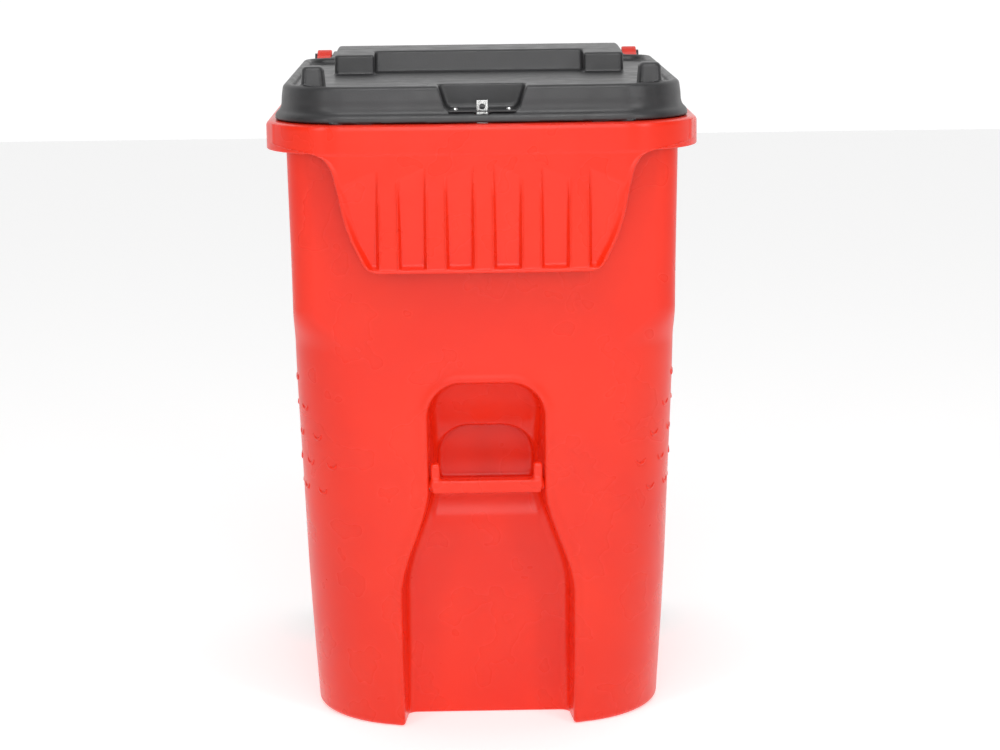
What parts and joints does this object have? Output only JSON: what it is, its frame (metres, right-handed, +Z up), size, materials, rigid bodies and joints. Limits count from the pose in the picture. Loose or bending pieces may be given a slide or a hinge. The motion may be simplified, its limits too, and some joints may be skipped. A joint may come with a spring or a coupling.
{
  "type": "wheeled waste container",
  "caption": "Red moulded rollout waste container with a black hinged lid, front lifter apron, lift bar in an arched recess, lock eye, rear hand grip and rear wheels.",
  "frame": {"origin": "on the floor, at the middle of the container's plan box, midway between the front rim and the rear hand grip", "axes": "+Z up, -Y towards the container's front (the apron and the lift bar), +X to the right as seen from the front"},
  "size_m": [0.586, 0.724, 0.927],
  "materials": {
    "red_plastic": "semi-gloss moulded polyethylene",
    "lid_plastic": "fine pebbled matte polyethylene",
    "black_plastic": "smooth satin plastic",
    "wheel_plastic": "satin moulded plastic",
    "tyre_rubber": "matte rubber",
    "nylon": "natural nylon",
    "zinc_steel": "zinc plated steel",
    "bright_steel": "bright plated steel"
  },
  "bodies": {
    "tub_body": {"tub": "red_plastic", "lift_bar": "red_plastic", "lift_bar_rod": "zinc_steel", "lock_staple": "bright_steel", "staple_rivets": "bright_steel", "axle": "zinc_steel", "axle_spacer_left": "black_plastic", "axle_spacer_right": "black_plastic", "axle_washer_left": "zinc_steel", "axle_washer_right": "zinc_steel", "axle_cap_left": "zinc_steel", "axle_cap_right": "zinc_steel", "hinge_pin_left": "black_plastic", "hinge_pin_right": "black_plastic"},
    "lid_body": {"lid": "lid_plastic", "hasp_plate": "lid_plastic", "hasp_rivets": "bright_steel"},
    "wheel_left_body": {"wheel_left": "wheel_plastic", "tyre_left": "tyre_rubber", "wheel_bush_left": "nylon"},
    "wheel_right_body": {"wheel_right": "wheel_plastic", "tyre_right": "tyre_rubber", "wheel_bush_right": "nylon"}
  },
  "joints": [
    {"name": "lid_hinge", "type": "hinge", "parent": "tub_body", "child": "lid_body", "pos_m": [0, 0.347, 0.89], "axis": [-1, 0, 0], "range_deg": [0, 270]},
    {"name": "wheel_left_spin", "type": "hinge", "parent": "tub_body", "child": "wheel_left_body", "pos_m": [-0.22, 0.216, 0.1016], "axis": [1, 0, 0], "continuous": true},
    {"name": "wheel_right_spin", "type": "hinge", "parent": "tub_body", "child": "wheel_right_body", "pos_m": [0.22, 0.216, 0.1016], "axis": [1, 0, 0], "continuous": true}
  ]
}
